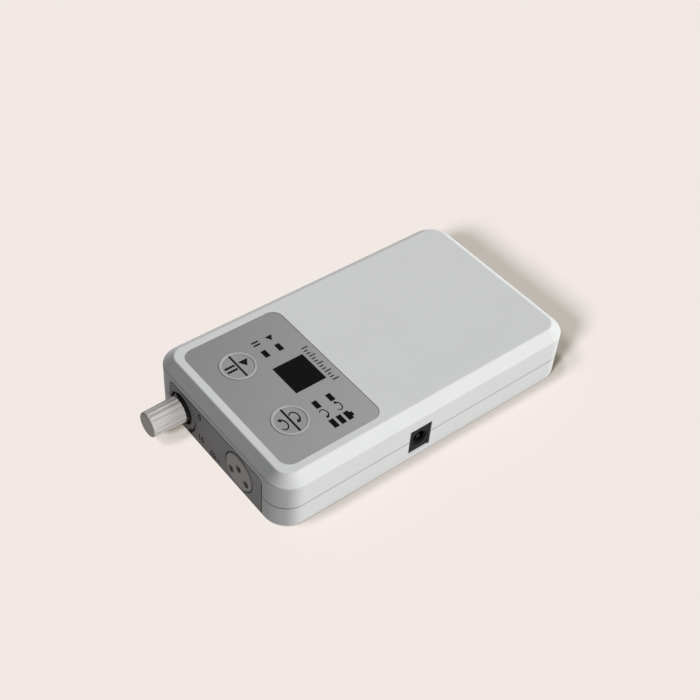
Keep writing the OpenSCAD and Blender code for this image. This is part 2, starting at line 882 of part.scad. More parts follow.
module socket_contacts() {
    color("gold")
    for (p = contact_places)
        difference() {
            union() {
                rod_y(socket_x + p[0], port_z + p[1], socket_face_y + contact_sink, socket_back_y,
                    contact_r + contact_wall);
                rod_y(socket_x + p[0], port_z + p[1], socket_back_y, socket_back_y + contact_tail_l,
                    contact_tail_r);
            }
            rod_y(socket_x + p[0], port_z + p[1], socket_face_y - over, socket_back_y - over, contact_r);
        }
}

module socket_screws() {
    y = panel_back_y + socket_flange_t;
    color("silver")
    for (side = [-1, 1])
        union() {
            rod_y(socket_x + side * socket_screw_x, port_z, panel_back_y - socket_screw_bite + slide_gap, y,
                socket_screw_r);
            rod_y(socket_x + side * socket_screw_x, port_z, y, y + socket_screw_head_h, socket_screw_head_r);
        }
}

// Each lead runs from a contact's tail down to the power board.
module socket_leads() {
    start_y = socket_back_y + contact_tail_l;
    for (i = [0:2])
        let (
            p = contact_places[i],
            x = socket_x + p[0],
            z = port_z + p[1],
            end_y = start_y + lead_bend + lead_step * (i + 1)
        )
        color(["red", "black", "white"][i])
            lead([[x, start_y, z], [x, start_y + lead_bend, z], [x, end_y, power_top_z + lead_bend],
                [x, end_y, power_top_z]], [1, 0, 0]);
}

// ---------------------------------------------------------------- charging jack

module dc_jack() {
    back_x = jack_face_x - jack_l;
    y0 = jack_y - jack_w / 2;
    color([0.13, 0.13, 0.13])
    difference() {
        union() {
            box(jack_face_x - jack_flange_l, jack_face_x, y0, y0 + jack_w, power_top_z, power_top_z + jack_h);
            rod_x(jack_y, jack_z, back_x, jack_face_x - jack_flange_l, jack_barrel_r);
            box(back_x, jack_face_x - jack_flange_l, jack_y - jack_barrel_r, jack_y + jack_barrel_r,
                power_top_z, jack_z);
        }
        rod_x(jack_y, jack_z, jack_face_x - jack_bore_l, jack_face_x + over, jack_bore_r);
        rod_x(jack_y, jack_z, jack_face_x - jack_mouth_d, jack_face_x + over, jack_mouth_r);
        rod_x(jack_y, jack_z, back_x - over, jack_face_x, jack_pin_root_r + thread_gap);
        box(jack_face_x - jack_bore_l, jack_face_x - jack_flange_l, jack_y - spring_w / 2 - slide_gap,
            jack_y + spring_w / 2 + slide_gap, power_top_z - over, jack_z - jack_bore_r + spring_dip);
    }
}

module dc_jack_pin() {
    color("silver")
    union() {
        rod_x(jack_y, jack_z, jack_face_x - jack_bore_l, jack_face_x - jack_pin_tip, jack_pin_r);
        rod_x(jack_y, jack_z, jack_face_x - jack_l, jack_face_x - jack_bore_l, jack_pin_root_r);
        rod_x(jack_y, jack_z, jack_face_x - jack_l - jack_pin_head_t, jack_face_x - jack_l, jack_pin_head_r);
    }
}

// A leaf in the slot under the bore, that bears on the plug's sleeve.
module dc_jack_spring() {
    x0 = jack_face_x - jack_bore_l + slide_gap;
    x1 = jack_face_x - jack_flange_l - slide_gap;
    top_z = jack_z - jack_bore_r;
    color("silver")
    translate([0, jack_y + spring_w / 2, 0])
        rotate([90, 0, 0])
            linear_extrude(spring_w)
                polygon([
                    [x0, power_top_z], [x0 + spring_t, power_top_z],
                    [x0 + spring_t, top_z - spring_t - spring_dip],
                    [x1 - spring_bend, top_z - spring_t + spring_rise], [x1, top_z - spring_t - spring_dip],
                    [x1, top_z - spring_dip], [x1 - spring_bend, top_z + spring_rise],
                    [x0, top_z - spring_dip]
                ]);
}

// ---------------------------------------------------------------- keys and switches

module key_at(x) {
    color([0.62, 0.62, 0.61])
    translate([x, key_y, 0])
        rotate_extrude($fn = 96)
            polygon([
                [0, key_foot_z], [key_foot_r, key_foot_z],
                [key_foot_r, key_flange_z], [key_r + key_flange, key_flange_z],
                [key_r + key_flange, key_flange_z + key_flange_t],
                [key_r, key_flange_z + key_flange_t],
                [key_r, overlay_top_z + key_ring_h / 2],
                [key_r - key_ring_h / 2, overlay_top_z + key_ring_h],
                [key_r - key_ring + key_ring_h / 2, overlay_top_z + key_ring_h],
                [key_r - key_ring, overlay_top_z + key_ring_h / 2],
                [key_r - key_ring, overlay_top_z], [0, overlay_top_z]
            ]);
}

module plunger_at(x) {
    color([0.15, 0.15, 0.15])
        rod(x, key_y, display_top_z + switch_h - plunger_depth, key_foot_z, plunger_r);
}

module switch_at(x) {
    color([0.2, 0.2, 0.2])
    difference() {
        plate_at(x, key_y, display_top_z, switch_w, switch_w, switch_h);
        rod(x, key_y, display_top_z + switch_h - plunger_depth - key_travel - slide_gap,
            display_top_z + switch_h + over, plunger_r + slide_gap);
    }
}

module play_pause_key() { key_at(-key_x); }
module play_pause_plunger() { plunger_at(-key_x); }
module play_pause_switch() { switch_at(-key_x); }
module direction_key() { key_at(key_x); }
module direction_plunger() { plunger_at(key_x); }
module direction_switch() { switch_at(key_x); }

// ---------------------------------------------------------------- display board

module display_board() {
    color("darkgreen")
    difference() {
        box(-display_board_x, display_board_x, display_board_y0, display_board_y1,
            display_bottom_z, display_top_z);
        for (p = post_places)
            rod(p[0], p[1], display_bottom_z - over, display_top_z + over, board_screw_r + slide_gap);
    }
}

module display_board_screws() {
    color("silver")
    for (p = post_places)
        union() {
            rod(p[0], p[1], display_bottom_z - board_screw_head_h, display_bottom_z, board_screw_head_r);
            rod(p[0], p[1], display_bottom_z, display_top_z + board_screw_bite, board_screw_r);
        }
}

module digit_display() {
    color([0.1, 0.1, 0.1])
        plate_at(window_x, window_y, display_top_z, window_w + 2 * digit_side,
            window_l + 2 * digit_side, digit_h);
}

module indicator_leds() {
    color("ivory")
    for (p = lens_places)
        plate_at(p[0], p[1], display_top_z, lens_w - 2 * led_side, lens_l - led_side, digit_h);
}

module gauge_leds() {
    color("ivory")
    for (i = [0:gauge_count - 1])
        plate_at(gauge_x, gauge_y + i * gauge_pitch, display_top_z, gauge_w - 2 * led_side,
            gauge_l - led_side, digit_h);
}

module controller_chip() {
    color([0.15, 0.15, 0.15])
    union() {
        plate_at(chip_x, chip_y, display_bottom_z - chip_standoff - chip[2], chip[0], chip[1], chip[2]);
        for (i = [0:chip_legs - 1], side = [-1, 1])
            plate_at(chip_x + (i - (chip_legs - 1) / 2) * chip_leg_pitch,
                chip_y + side * (chip[1] + chip_leg[1] - slide_gap) / 2,
                display_bottom_z - chip_leg[2], chip_leg[0], chip_leg[1], chip_leg[2]);
    }
}

module board_header() {
    color([0.12, 0.12, 0.12])
        plate_at(header_x, header_y, power_top_z, header_w, header_l, display_bottom_z - power_top_z);
}

// ---------------------------------------------------------------- power board

module power_board() {
    notch_x0 = socket_x - socket_flange_x - root;
    notch_x1 = socket_x + socket_flange_x + root;
    notch_y = socket_back_y + board_margin;
    color("darkgreen")
    difference() {
        translate([0, 0, power_board_z])
            linear_extrude(power_board_t)
                polygon([
                    [-power_board_front_x, panel_back_y + air_gap], [notch_x0, panel_back_y + air_gap],
                    [notch_x0, notch_y], [notch_x1, notch_y],
                    [notch_x1, power_board_step_y], [power_board_x, power_board_step_y],
                    [power_board_x, jack_ear_y], [jack_ear_x, jack_ear_y],
                    [jack_ear_x, power_board_back_y], [-power_board_x, power_board_back_y],
                    [-power_board_x, power_board_step_y], [-power_board_front_x, power_board_step_y]
                ]);
        for (p = stake_places)
            rod(p[0], p[1], power_board_z - over, power_top_z + over, stake_r + slide_gap);
    }
}

module driver_transistors() {
    color([0.15, 0.15, 0.15])
    for (y = transistor_y)
        union() {
            plate_at(transistor_x, y, power_top_z, transistor[0], transistor[1], transistor[2]);
            plate_at(transistor_x, y + (transistor[1] + transistor_tab[1]) / 2 - slide_gap, power_top_z,
                transistor_tab[0], transistor_tab[1], transistor_tab[2]);
        }
}

module filter_capacitor() {
    color("midnightblue")
        rod_x(capacitor_y, power_top_z + capacitor_r, capacitor_x, capacitor_x + capacitor_l, capacitor_r);
}

module boost_inductor() {
    color([0.3, 0.3, 0.3])
    union() {
        plate_at(inductor_x, inductor_y, power_top_z, inductor_base[0], inductor_base[1], inductor_base[2]);
        rod(inductor_x, inductor_y, power_top_z, power_top_z + inductor_h, inductor_r);
    }
}

module battery_connector() {
    color("ivory")
        plate_at(connector_x, connector_y, power_top_z, connector[0], connector[1], connector[2]);
}

// ---------------------------------------------------------------- battery

// A cell with its rolled groove and button at the plus end. The way is 1 for a button at the back.
module cell_at(x, way) {
    can_l = cell_l - button_l;
    groove_z = can_l - can_groove_z;
    mid_y = (cell_front_y + cell_back_y) / 2;
    color("steelblue")
    translate([x, mid_y, cell_z])
        rotate([-90 * way, 0, 0])
            translate([0, 0, -cell_l / 2])
                rotate_extrude($fn = 64)
                    polygon([
                        [0, 0], [cell_r - can_groove, 0], [cell_r, can_groove],
                        [cell_r, groove_z - 3 * can_groove], [cell_r - can_groove, groove_z - 2 * can_groove],
                        [cell_r - can_groove, groove_z - can_groove], [cell_r, groove_z],
                        [cell_r, can_l - can_groove], [cell_r - can_groove, can_l], [button_r, can_l],
                        [button_r, cell_l], [0, cell_l]
                    ]);
}

module left_cell() { cell_at(-cell_pitch / 2, 1); }
module right_cell() { cell_at(cell_pitch / 2, -1); }

// One link joins the cells at the back, and a tab at the front leads each to the protection board.
module nickel_strips() {
    z0 = cell_z - strip_w / 2;
    color("silver")
    union() {
        box(-cell_pitch / 2 - strip_end, cell_pitch / 2 + strip_end, cell_back_y, cell_back_y + strip_t,
            z0, z0 + strip_w);
        for (side = [-1, 1]) {
            x = side * cell_pitch / 2;
            box(x - tab_half, x + tab_half, cell_front_y - strip_t, cell_front_y, z0, z0 + strip_w);
            box(x - tab_half, x + tab_half, protection_y, cell_front_y, z0, z0 + strip_t);
        }
    }
}

module protection_board() {
    color("darkgreen")
    union() {
        box(-protection_w / 2, protection_w / 2, protection_front_y, protection_y,
            base_wall, base_wall + protection_h);
        for (i = [-1:1])
            plate_at(i * protection_chip_pitch, protection_front_y - protection_chip[1] / 2,
                protection_chip_z, protection_chip[0], protection_chip[1], protection_chip[2]);
    }
}

module battery_leads() {
    start_y = protection_front_y;
    end_y = connector_y + connector[1] / 2;
    for (i = [0, 1])
        let (
            x0 = battery_lead_x + i * battery_lead_pitch,
            x1 = connector_x + (i - 0.5) * connector_pitch
        )
        color(["red", "black"][i])
            lead([[x0, start_y, battery_lead_z], [x0, start_y - lead_bend, battery_lead_z],
                [x1, end_y + lead_bend, connector_lead_z], [x1, end_y, connector_lead_z]], [1, 0, 0]);
}

module foam_pads() {
    color([0.3, 0.3, 0.3])
    for (y = [cradle_y[0], cradle_y[2]])
        plate_at(0, y, roof_z - foam_t, cell_pitch + 2 * foam_side, foam_l, foam_t);
}

lower_shell();
upper_shell();
front_panel();
control_overlay();
display_window();
indicator_lenses();
gauge_lenses();
housing_screws();
speed_knob();
potentiometer_shaft();
speed_potentiometer();
potentiometer_washer();
potentiometer_nut();
motor_socket();
socket_contacts();
socket_screws();
socket_leads();
dc_jack();
dc_jack_pin();
dc_jack_spring();
play_pause_key();
play_pause_plunger();
play_pause_switch();
direction_key();
direction_plunger();
direction_switch();
display_board();
display_board_screws();
digit_display();
indicator_leds();
gauge_leds();
controller_chip();
board_header();
power_board();
driver_transistors();
filter_capacitor();
boost_inductor();
battery_connector();
left_cell();
right_cell();
nickel_strips();
protection_board();
battery_leads();
foam_pads();
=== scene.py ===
# %% [markdown]
# # A battery control unit for a nail drill
#
# The real object is a flat housing of two moulded shells. A grey film with two keys and a black
# display window lies on its top, a fluted knob and a round socket stand on its front end, and a
# black charging jack sits in its right side. The construction is already made as exact solids, so
# this lesson gives every solid its finish, adds the printed signs, and then sets up the floor,
# the light and the camera.

# %% Load the solids
import math

import bmesh
import bpy
from mathutils import Matrix, Vector


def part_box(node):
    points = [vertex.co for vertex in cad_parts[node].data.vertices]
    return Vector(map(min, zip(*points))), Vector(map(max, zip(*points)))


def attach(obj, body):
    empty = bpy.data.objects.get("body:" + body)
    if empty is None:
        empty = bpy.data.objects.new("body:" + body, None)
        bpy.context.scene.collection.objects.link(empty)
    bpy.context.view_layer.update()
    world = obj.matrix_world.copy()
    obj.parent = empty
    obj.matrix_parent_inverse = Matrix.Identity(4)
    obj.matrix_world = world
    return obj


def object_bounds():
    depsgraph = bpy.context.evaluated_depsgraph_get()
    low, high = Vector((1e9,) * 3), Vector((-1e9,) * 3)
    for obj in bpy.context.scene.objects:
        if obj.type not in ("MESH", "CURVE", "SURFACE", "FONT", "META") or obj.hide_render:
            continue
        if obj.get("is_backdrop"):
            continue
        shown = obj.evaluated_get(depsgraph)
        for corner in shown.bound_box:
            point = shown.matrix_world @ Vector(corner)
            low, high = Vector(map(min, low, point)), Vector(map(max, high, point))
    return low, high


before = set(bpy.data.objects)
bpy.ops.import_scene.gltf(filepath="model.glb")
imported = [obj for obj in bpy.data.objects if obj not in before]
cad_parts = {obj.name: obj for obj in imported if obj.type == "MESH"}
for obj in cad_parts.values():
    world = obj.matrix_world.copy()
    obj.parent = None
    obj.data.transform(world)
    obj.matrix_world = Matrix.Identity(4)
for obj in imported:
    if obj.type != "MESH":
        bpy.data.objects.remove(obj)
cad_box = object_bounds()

MM = 0.001
print("size in mm:", [round(side / MM, 1) for side in cad_box[1] - cad_box[0]])

# %% [markdown]
# ## Measuring the solids
#
# A sign belongs where its key or window is, so its place is read from the solid and never typed
# in again. The box of a solid is enough for this: its middle gives the axis of a key or a knob,
# and its top gives the surface that the sign is printed on. All lengths in this file are
# millimetres until a mesh is finished.

# %% Corners and middle of a solid, in millimetres
def low(node):
    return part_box(node)[0] / MM


def high(node):
    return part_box(node)[1] / MM


def middle(node):
    return (low(node) + high(node)) / 2


play_key = middle("play_pause_key")
direction_key = middle("direction_key")
film_top = high("control_overlay").z
knob_axis = middle("speed_knob")
print("keys at", round(play_key.x, 2), round(direction_key.x, 2), "film top", round(film_top, 2))

# %% [markdown]
# ## Arithmetic on textures
#
# A finish such as moulded plastic is arithmetic on noise: this much grain, plus a little
# mottling, kept inside a mask. In the node editor each sum is a box and two wires. Here one small
# class holds an output socket and turns the signs + - * / into Math nodes, so a finish reads like
# a formula.

# %% An output socket that takes part in sums
class Wire:
    def __init__(self, nodes, socket):
        self.nodes = nodes
        self.socket = socket

    def maths(self, operation, *others):
        return self.nodes.add("Math", {"operation": operation}, dict(enumerate((self, *others))))

    def __add__(self, other):
        return self.maths("ADD", other)

    def __radd__(self, other):
        return self + other

    def __sub__(self, other):
        return self.maths("SUBTRACT", other)

    def __rsub__(self, other):
        return self * -1 + other

    def __mul__(self, other):
        return self.maths("MULTIPLY", other)

    def __rmul__(self, other):
        return self * other

    def __truediv__(self, other):
        return self.maths("DIVIDE", other)

    def __abs__(self):
        return self.maths("ABSOLUTE")

    def rises(self, start, end):
        """0 below start, 1 above end, and a smooth step between them."""
        inputs = {"Value": self, "From Min": start, "From Max": end}
        return self.nodes.add("MapRange", {"interpolation_type": "SMOOTHSTEP"}, inputs)

    def within(self, reach, edge):
        """1 where the size of this value is under reach, and 0 beyond, over an edge that wide."""
        return 1 - abs(self).rises(reach - edge / 2, reach + edge / 2)


# %% [markdown]
# ## One way to add a node
#
# Materials and the sky are both trees of nodes. One method adds any node to either: it makes the
# node's own settings first, because some of them change which sockets there are, and then gives
# each socket a value or a wire. The floor and the sky also have to know whether the camera sees
# them or the object does, so that question is kept here too.

# %% A tree of nodes
class Nodes:
    def __init__(self, tree):
        self.tree = tree

    def add(self, kind, settings=(), inputs=(), output=0):
        node = self.tree.nodes.new("ShaderNode" + kind)
        for name, value in dict(settings).items():
            setattr(node, name, value)
        for name, value in dict(inputs).items():
            self.join(node.inputs[name], value)
        return Wire(self, node.outputs[output])

    def join(self, socket, value):
        if isinstance(value, Wire):
            self.tree.links.new(value.socket, socket)
        else:
            socket.default_value = value

    def seen(self):
        """1 for a ray that shows this to the camera, directly, in gloss or through glass."""
        kinds = ("Is Camera Ray", "Is Glossy Ray", "Is Transmission Ray")
        direct, glossy, through = (self.add("LightPath", output=kind) for kind in kinds)
        return direct.maths("MAXIMUM", glossy).maths("MAXIMUM", through)


# %% [markdown]
# ## Places on a solid
#
# The pattern of a finish lies on Object coordinates, which for these solids are the unit's own
# axes, so a grain keeps its size and place from every side and also when a key is pressed. A mask
# has to know where on the solid it is: how far along an axis, what share of the way through the
# box, how far in from the edge, or how far from a line such as the knob's axis.

# %% Places in millimetres
class Places(Nodes):
    def __init__(self, tree):
        super().__init__(tree)
        inputs = {0: self.add("TexCoord", output="Object"), "Scale": 1 / MM}
        self.place = self.add("VectorMath", {"operation": "SCALE"}, inputs)

    def along(self, axis, start=0.0):
        """The distance from a start along X, Y or Z."""
        return self.add("SeparateXYZ", (), {0: self.place}, "XYZ".index(axis)) - start

    def through(self, node, **weights):
        """Grows from 0 to 1 through a solid's box, along X, Y and Z as much as they weigh."""
        start, end, total = low(node), high(node), 0
        for axis, weight in weights.items():
            number = "XYZ".index(axis)
            share = self.along(axis, start[number]) / (end[number] - start[number])
            total = share * weight + total
        return total

    def from_edge(self, node, axis):
        """The distance in from a solid's top and from its two sides across an axis."""
        start, end, number = low(node), high(node), "XYZ".index(axis)
        one, other = self.along(axis, start[number]), end[number] - self.along(axis)
        return one.maths("MINIMUM", other).maths("MINIMUM", end.z - self.along("Z"))

    def noise(self, size, detail=2.0, stretch=(1, 1, 1)):
        """Noise from 0 to 1 whose lumps are about size millimetres across."""
        place = self.add("VectorMath", {"operation": "MULTIPLY"}, {0: self.place, 1: stretch})
        return self.add("TexNoise", (), {"Vector": place, "Scale": 1 / size, "Detail": detail})


def from_line(first, second):
    """How far a line is, from the distances to it along the two axes across it."""
    return (first * first + second * second).maths("SQRT")


# %% [markdown]
# ## A finish
#
# A finish is one material around the Principled shader. What is the same all over the surface is
# set on the shader's own socket. What changes over the surface is a wire: a colour mixed by a
# mask, or a relief made of noise. Colours go through a Mix node, because a Math node would turn
# them grey.

# %% A material with its pattern
FACTOR, FIRST, SECOND, RESULT = 0, 6, 7, 2  # the sockets of a Mix node that mixes colours


def tone(red, green, blue):
    """A colour as it is read on a screen, from 0 to 255, made linear."""
    values = [channel / 255 for channel in (red, green, blue)]
    return tuple(v / 12.92 if v < 0.04045 else ((v + 0.055) / 1.055) ** 2.4 for v in values) + (1,)


class Finish(Places):
    def __init__(self, name, colour, **sockets):
        self.material = bpy.data.materials.new(name)
        self.material.use_nodes = True
        super().__init__(self.material.node_tree)
        self.shader = self.tree.nodes["Principled BSDF"]
        self.colour = colour
        self.put("Base Color", colour)
        for socket, value in sockets.items():
            self.put(socket.replace("_", " "), value)

    def put(self, socket, value):
        self.join(self.shader.inputs[socket], value)

    def mixed(self, mask, first, second):
        """The first colour where the mask is 0 and the second where it is 1."""
        inputs = {FACTOR: mask, FIRST: first, SECOND: second}
        return self.add("Mix", {"data_type": "RGBA"}, inputs, RESULT)

    def mottle(self, share, size, detail=2.0):
        """The finish's own colour, made a little darker and lighter in lumps of that size."""
        darker = tuple(c * (1 - share) for c in self.colour[:3]) + (1,)
        lighter = tuple(min(c * (1 + share), 1) for c in self.colour[:3]) + (1,)
        return self.mixed(self.noise(size, detail).rises(0.25, 0.75), darker, lighter)

    def relief(self, height):
        """Bumps whose height is a wire in millimetres."""
        return self.add("Bump", (), {"Height": height, "Distance": MM, "Strength": 1.0})


print("a tone of 128 is", round(tone(128, 128, 128)[0], 3), "in linear light")

# %% [markdown]
# ## Putting a finish on a solid
#
# Each solid arrives with a plain material. `dress` swaps it for a finish. Solids that share a
# finish share one material, as pieces cut from one sheet or moulded from one batch do.

# %% Dress solids, and note them down
dressed = set()


def dress(finish, *nodes):
    for node in nodes:
        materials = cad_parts[node].data.materials
        materials.clear()
        materials.append(finish.material)
    dressed.update(nodes)
    print(finish.material.name, "on", len(nodes), "nodes")


# %% [markdown]
# ## The shells: light grey ABS with a fine mould texture
#
# The mould is spark-eroded, so the skin is a very fine, even grain. The grain scatters the light,
# and that makes the shell look matt and soft. Two sizes of grain keep it from looking like sand.
# Slow changes of colour and roughness are what handling and the moulding itself leave behind.
# The groove between the shells, which starts where the lower shell's wall ends, is painted darker:
# a little dust, and painted shade.

# %% Shell plastic
groove_height = 0.3
corners = [vert.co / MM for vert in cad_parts["lower_shell"].data.vertices]
near_wall = max(corner.x for corner in corners) - 0.1
wall_top = max(corner.z for corner in corners if corner.x > near_wall)
print("the groove between the shells starts at", round(wall_top, 2), "mm")


def moulded_shell():
    finish = Finish("shell_plastic", tone(223, 225, 224), Specular_IOR_Level=0.18)
    # A darker band in the groove between the shells: dust and painted shade.
    groove_dust_and_shade = finish.along("Z", wall_top + groove_height / 2).within(reach=0.25, edge=0.2) * 0.45
    clean = finish.mottle(share=0.012, size=18)
    finish.put("Base Color", finish.mixed(groove_dust_and_shade, clean, tone(96, 96, 94)))
    finish.put("Roughness", 0.5 + 0.08 * finish.noise(9) + 0.06 * finish.noise(0.8))
    grain = 0.0035 * finish.noise(0.28) + 0.0025 * finish.noise(0.12, detail=1)
    finish.put("Normal", finish.relief(grain))
    return finish


dress(moulded_shell(), "lower_shell", "upper_shell")

# %% [markdown]
# ## The front panel: satin grey
#
# The panel is a separate moulding in a middle grey. Its colour is painted lighter towards the
# upper right corner and darker towards the lower left, a painted shade. A rim all round it is held
# behind the shells, so the mask for the dark line at its edge, grime and painted shade of the gap,
# is measured from that rim inwards, and not from the edge of the solid.

# %% Panel plastic
hidden_rim = 1.2


def panel_plastic():
    finish = Finish("panel_plastic", tone(128, 130, 131), Specular_IOR_Level=0.2)
    # Painted shade: lighter towards the upper right corner, darker towards the lower left.
    lighter = finish.through("front_panel", X=0.57, Z=0.43) + 0.08 * (finish.noise(5) - 0.5)
    clean = finish.mixed(lighter, tone(97, 99, 100), tone(152, 154, 155))
    # The dark line where the panel meets the shells: grime and painted shade of the gap.
    edge_grime_and_shade = 1 - (finish.from_edge("front_panel", "X") - hidden_rim).rises(0.0, 0.3)
    finish.put("Base Color", finish.mixed(edge_grime_and_shade * 0.9, clean, tone(28, 28, 28)))
    finish.put("Roughness", 0.42 + 0.1 * finish.noise(3))
    finish.put("Normal", finish.relief(0.003 * finish.noise(0.2)))
    return finish


dress(panel_plastic(), "front_panel")

# %% [markdown]
# ## The control film: a printed sheet in its recess
#
# The film's ink is laid from the back, so its face is a smooth satin. Its colour is painted a
# little lighter towards the right rear corner, a painted sheen. A thin sheet on glue is never
# quite flat, so broad, very low lumps lie under the fine grain and make the reflection ripple.

# %% Control film
def control_film():
    finish = Finish("overlay_film", tone(158, 158, 159), Specular_IOR_Level=0.2)
    # Painted sheen: lighter towards the right rear corner.
    lighter = finish.through("control_overlay", X=0.65, Y=0.35)
    finish.put("Base Color", finish.mixed(lighter, tone(145, 145, 145), tone(172, 172, 173)))
    finish.put("Roughness", 0.45 + 0.07 * finish.noise(6))
    finish.put("Normal", finish.relief(0.012 * finish.noise(14) + 0.0012 * finish.noise(0.25)))
    return finish


dress(control_film(), "control_overlay")

# %% [markdown]
# ## The keys: a raised ring around a printed disc
#
# A key has the look of the film around it. Its raised ring is painted lighter than the disc
# inside it, a painted highlight, and it is also smoother. One finish serves both keys: taking the
# size of X makes the left and the right key one, and the distance from that centre draws the
# ring. The solid's box is wider than the key that shows, because a flange holds the key under the
# housing's top.

# %% Key film
flange, ring_width = 0.8, 0.85
key_edge = play_key.x - low("play_pause_key").x - flange
disc_edge = key_edge - ring_width


def key_film():
    finish = Finish("key_film", tone(162, 162, 161), Specular_IOR_Level=0.25)
    outward, forward = abs(finish.along("X")) - abs(play_key.x), finish.along("Y", play_key.y)
    half = 0.45
    # Painted highlight: the raised ring is lighter than the disc.
    ring = (from_line(outward, forward) - (key_edge - half)).within(reach=half, edge=0.15)
    finish.put("Base Color", finish.mixed(ring, tone(159, 159, 158), tone(183, 184, 183)))
    finish.put("Roughness", 0.5 - 0.12 * ring + 0.05 * finish.noise(2))
    finish.put("Normal", finish.relief(0.0015 * finish.noise(0.25)))
    return finish


dress(key_film(), "play_pause_key", "direction_key")
print("a key's radius is", round(key_edge, 2), "mm, and its disc's", round(disc_edge, 2), "mm")

# %% [markdown]
# ## Windows and lenses: smoked acrylic
#
# The display window and the small lenses are black acrylic with the light behind them off. Smoked
# acrylic swallows nearly all light, so the colour is almost black and the gloss is the whole
# look. Fine rubbing marks break the reflection up, as they do on every used window.

# %% Smoked acrylic
def smoked_acrylic():
    finish = Finish("smoked_acrylic", tone(11, 11, 11), Specular_IOR_Level=0.05)
    rubbed = finish.noise(1.5, detail=3, stretch=(1, 6, 1))
    finish.put("Base Color", finish.mixed(rubbed.rises(0.3, 0.8), tone(9, 9, 9), tone(15, 15, 15)))
    finish.put("Roughness", 0.16 + 0.12 * rubbed)
    return finish


dress(smoked_acrylic(), "display_window", "indicator_lenses", "gauge_lenses")

# %% [markdown]
# ## The socket and other small mouldings
#
# These plain mouldings differ only in colour, gloss and grain, so one function makes them all.
# The handpiece socket is grey and a little speckled, because it is filled with glass fibre. The
# switches and the chips are black, and the nylon of the connector and the lamps is ivory.

# %% Small mouldings
def moulding(name, colour, gloss, speckle, grain, mirror=0.4):
    finish = Finish(name, colour, Specular_IOR_Level=mirror)
    finish.skin = finish.mottle(speckle, size=0.35, detail=1)
    finish.put("Base Color", finish.skin)
    finish.put("Roughness", 1 - gloss + 0.12 * finish.noise(1.2))
    finish.put("Normal", finish.relief(grain * finish.noise(0.15)))
    return finish


dress(moulding("socket_insulator", tone(170, 167, 165), gloss=0.55, speckle=0.08, grain=0.004),
      "motor_socket")
dress(moulding("black_nylon", tone(38, 38, 39), gloss=0.5, speckle=0.15, grain=0.003),
      "speed_potentiometer", "board_header", "digit_display")
dress(moulding("moulded_epoxy", tone(32, 32, 34), gloss=0.45, speckle=0.2, grain=0.004),
      "controller_chip", "driver_transistors", "play_pause_switch", "play_pause_plunger",
      "direction_switch", "direction_plunger")
dress(moulding("ivory_nylon", tone(226, 222, 208), gloss=0.6, speckle=0.04, grain=0.002),
      "battery_connector", "indicator_leds", "gauge_leds")
dress(moulding("ferrite", tone(60, 61, 64), gloss=0.3, speckle=0.2, grain=0.008),
      "boost_inductor")

# %% [markdown]
# ## The jack: black nylon, darker at its rim
#
# The jack stands in a window of the wall with a narrow gap round it. Its rim lies in the shade of
# that gap, so the colour goes down to nearly black over the last part of a millimetre.

# %% The charging jack
def jack_nylon():
    finish = moulding("jack_nylon", tone(18, 18, 20), gloss=0.5, speckle=0.15, grain=0.003,
                      mirror=0.16)
    face = finish.from_edge("dc_jack", "Y").rises(0.3, 0.9)
    finish.put("Base Color", finish.mixed(face, tone(10, 10, 11), finish.skin))
    return finish


dress(jack_nylon(), "dc_jack")

# %% [markdown]
# ## Metals
#
# Polished metal without marks looks like a toy's. Turned and drawn parts carry fine lines along
# the way the tool went, so the noise is stretched along one axis until it is a brush stroke, and
# it drives both the roughness and a very low relief.

# %% Brushed and plated metals
def metal(name, colour, stretch, roughness=0.3):
    finish = Finish(name, colour, Metallic=1.0)
    lines = finish.noise(0.3, detail=3, stretch=stretch)
    finish.put("Base Color", finish.mottle(share=0.08, size=1.5))
    finish.put("Roughness", roughness - 0.08 + 0.2 * lines)
    finish.put("Normal", finish.relief(0.002 * lines))
    return finish


dress(metal("zinc_steel", tone(196, 196, 194), (1, 1, 8)),
      "housing_screws", "socket_screws", "display_board_screws", "potentiometer_shaft")
dress(metal("black_nickel", tone(58, 58, 60), (8, 1, 8), roughness=0.35),
      "potentiometer_washer", "potentiometer_nut")
dress(metal("gold_plate", tone(150, 138, 112), (6, 1, 6), roughness=0.4), "socket_contacts")
dress(metal("nickel_plate", tone(196, 193, 186), (1, 8, 8), roughness=0.28),
      "dc_jack_spring", "nickel_strips")
dress(metal("dark_nickel", tone(46, 46, 46), (1, 8, 8), roughness=0.5), "dc_jack_pin")

# %% [markdown]
# ## The circuit boards: green solder mask over copper
#
# Under the mask the copper shows as slightly lighter, raised strips. Two sets of strips at right
# angles, each switched on in its own patches, read as traces without drawing a circuit.

# %% Solder mask with copper under it
def solder_mask():
    finish = Finish("solder_mask", tone(20, 92, 52), Coat_Roughness=0.15)
    across = (finish.along("X") * math.tau / 1.3).maths("SINE").rises(0.1, 0.3)
    lengthwise = (finish.along("Y") * math.tau / 1.7).maths("SINE").rises(0.1, 0.3)
    patches = finish.noise(7, detail=1).rises(0.48, 0.5)
    copper = across * patches + lengthwise * (1 - patches)
    finish.put("Base Color", finish.mixed(copper, tone(16, 78, 44), tone(34, 116, 66)))
    finish.put("Roughness", 0.35 + 0.1 * finish.noise(4))
    finish.put("Coat Weight", 0.5 + 0.2 * finish.noise(3))
    finish.put("Normal", finish.relief(0.03 * copper))
    return finish


dress(solder_mask(), "display_board", "power_board", "protection_board")

# %% [markdown]
# ## Cells and capacitor: shrink sleeves
#
# A cell is a steel can in a blue shrink sleeve, and the sleeve stops short of the ends, where
# bare steel shows. The distance from its middle along Y therefore picks sleeve or steel. The
# capacitor's dark sleeve has the pale stripe of its minus side.

